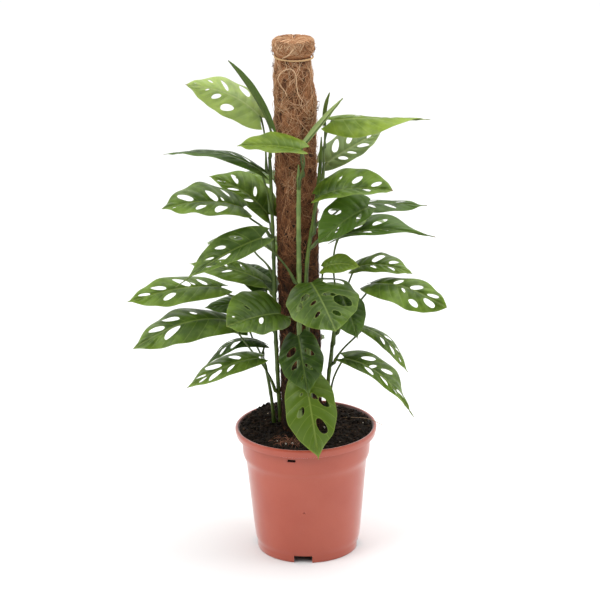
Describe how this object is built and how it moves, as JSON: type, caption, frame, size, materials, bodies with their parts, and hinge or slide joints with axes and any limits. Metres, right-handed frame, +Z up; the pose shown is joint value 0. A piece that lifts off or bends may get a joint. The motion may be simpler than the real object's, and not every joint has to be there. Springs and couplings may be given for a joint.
{
  "type": "potted monstera",
  "caption": "Climbing house plant with holed leaves on a tied coir pole, rooted in dark soil in a round tapered terracotta-coloured plastic pot.",
  "frame": {"origin": "centre of the pot's foot, on the surface it stands on", "axes": "+Z up along the pole, -Y towards the pictured front, +X to the right seen from the front"},
  "size_m": [0.371, 0.278, 0.625],
  "materials": {
    "pot_plastic": "satin",
    "peat": "matte",
    "stake_wood": "matte",
    "coir": "matte",
    "twine": "matte",
    "stem": "satin",
    "leaf": "satin",
    "leaf_pale": "satin",
    "leaf_young": "satin",
    "leaf_dark": "satin"
  },
  "bodies": {
    "root": {"pot": "pot_plastic", "soil": "peat", "pole_stake": "stake_wood", "coir_sleeve": "coir", "top_tie": "twine", "stem_left": "stem", "stem_front": "stem", "stem_right": "stem", "stem_low_left": "stem", "stem_low_right": "stem", "stem_back": "stem", "leaf_01": "leaf_pale", "leaf_02": "leaf_dark", "leaf_03": "leaf_young", "leaf_04": "leaf_dark", "leaf_05": "leaf", "leaf_06": "leaf", "leaf_07": "leaf", "leaf_08": "leaf", "leaf_09": "leaf", "leaf_10": "leaf", "leaf_11": "leaf", "leaf_12": "leaf_dark", "leaf_13": "leaf", "leaf_14": "leaf_dark", "leaf_15": "leaf", "leaf_16": "leaf_dark", "leaf_17": "leaf_dark", "leaf_18": "leaf_young", "leaf_19": "leaf_young", "leaf_20": "leaf_pale", "leaf_21": "leaf_pale", "leaf_22": "leaf", "leaf_23": "leaf_dark", "leaf_24": "leaf_dark", "leaf_25": "leaf_dark", "leaf_26": "leaf", "leaf_27": "leaf", "leaf_28": "leaf", "leaf_29": "leaf", "leaf_30": "leaf_dark", "leaf_31": "leaf_young", "leaf_32": "leaf", "leaf_33": "leaf", "leaf_34": "leaf", "leaf_35": "leaf", "leaf_36": "leaf", "leaf_37": "leaf", "leaf_38": "leaf", "leaf_39": "leaf", "leaf_40": "leaf", "leaf_41": "leaf", "leaf_42": "leaf"}
  },
  "joints": []
}
